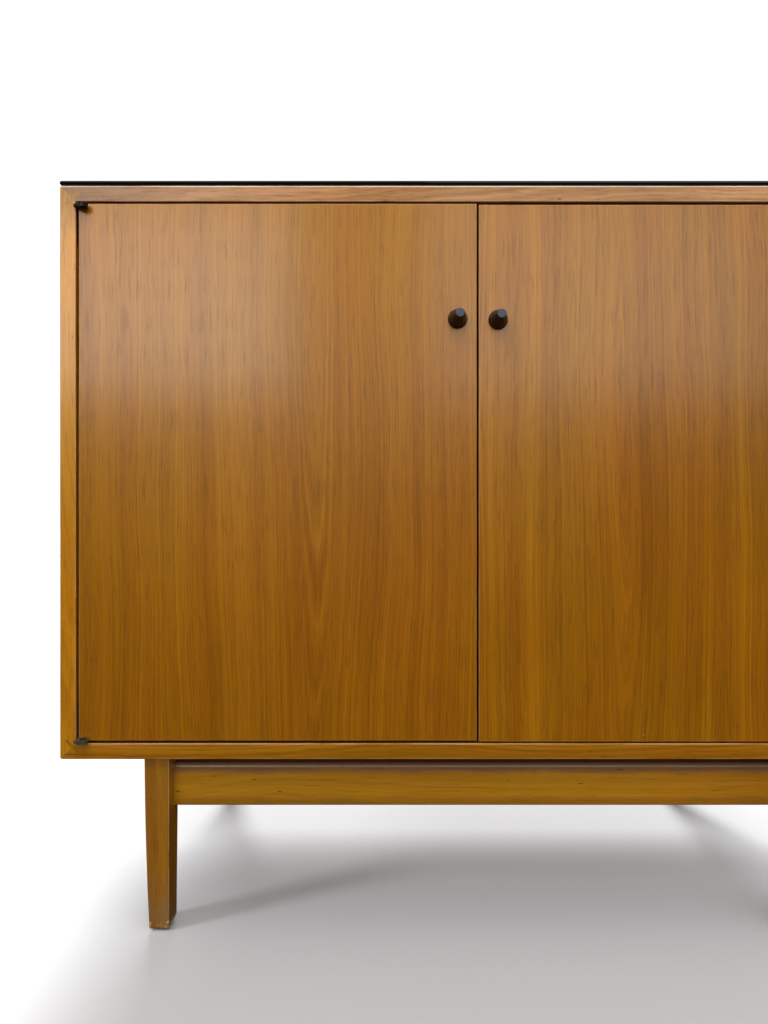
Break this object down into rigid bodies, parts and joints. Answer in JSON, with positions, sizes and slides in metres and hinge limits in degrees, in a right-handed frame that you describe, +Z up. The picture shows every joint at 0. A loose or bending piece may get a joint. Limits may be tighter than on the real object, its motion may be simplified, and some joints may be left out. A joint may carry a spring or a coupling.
{
  "type": "sideboard buffet",
  "caption": "Low wooden sideboard with splined mitre corners, inset doors on offset pivot hinges, cone pulls, a dark glass top and a leg frame.",
  "frame": {"origin": "on the floor, under the middle of the whole object's bounding box, door pulls included", "axes": "+X to the right as seen from the front, -Y towards the front (the doors face -Y), +Z up"},
  "size_m": [0.9204, 0.4858, 0.8287],
  "materials": {
    "case_walnut": "satin lacquer, honey walnut",
    "spline_walnut": "satin lacquer, darker end grain",
    "back_ply": "unfinished plywood",
    "frame_walnut": "satin lacquer, worn at the feet",
    "block_wood": "unfinished",
    "door_veneer": "satin lacquered veneer, vertical grain",
    "shelf_wood": "satin lacquer",
    "black_glass": "polished, opaque black",
    "clear_pad": "soft pad",
    "pull_black": "ebonised, satin",
    "hinge_bronze": "aged dark bronze",
    "screw_brass": "aged",
    "screw_steel": "plated",
    "catch_plastic": "brown",
    "magnet": "ferrite",
    "strike_steel": "plated"
  },
  "bodies": {
    "case": {"case_top": "case_walnut", "case_bottom": "case_walnut", "case_side_left": "case_walnut", "case_side_right": "case_walnut", "mitre_splines": "spline_walnut", "back_panel": "back_ply", "leg_front_left": "frame_walnut", "leg_front_right": "frame_walnut", "leg_rear_left": "frame_walnut", "leg_rear_right": "frame_walnut", "front_rail": "frame_walnut", "rear_rail": "frame_walnut", "side_rail_left": "frame_walnut", "side_rail_right": "frame_walnut", "corner_blocks": "block_wood", "shelf": "shelf_wood", "shelf_edge": "shelf_wood", "glass_top": "black_glass", "glass_pads": "clear_pad", "hinge_case_leaf_left_top": "hinge_bronze", "hinge_case_leaf_left_bottom": "hinge_bronze", "hinge_case_leaf_right_top": "hinge_bronze", "hinge_case_leaf_right_bottom": "hinge_bronze", "hinge_pins": "hinge_bronze", "hinge_case_screws": "screw_brass", "shelf_pins": "screw_brass", "back_panel_screws": "screw_steel", "base_screws": "screw_steel", "catch_screws": "screw_steel", "foot_glides": "screw_steel", "catch_housing": "catch_plastic", "catch_magnets": "magnet"},
    "door_left": {"door_left": "door_veneer", "pull_left": "pull_black", "pull_screw_left": "screw_steel", "hinge_door_leaf_left_top": "hinge_bronze", "hinge_door_leaf_left_bottom": "hinge_bronze", "hinge_door_screws_left": "screw_brass", "strike_plate_left": "strike_steel", "strike_screw_left": "screw_steel"},
    "door_right": {"door_right": "door_veneer", "pull_right": "pull_black", "pull_screw_right": "screw_steel", "hinge_door_leaf_right_top": "hinge_bronze", "hinge_door_leaf_right_bottom": "hinge_bronze", "hinge_door_screws_right": "screw_brass", "strike_plate_right": "strike_steel", "strike_screw_right": "screw_steel"}
  },
  "joints": [
    {"name": "door_left_hinge", "type": "hinge", "parent": "case", "child": "door_left", "pos_m": [-0.4313, -0.2206, 0.507], "axis": [0, 0, -1], "range_deg": [0, 180]},
    {"name": "door_right_hinge", "type": "hinge", "parent": "case", "child": "door_right", "pos_m": [0.4313, -0.2206, 0.507], "axis": [0, 0, 1], "range_deg": [0, 180]}
  ]
}
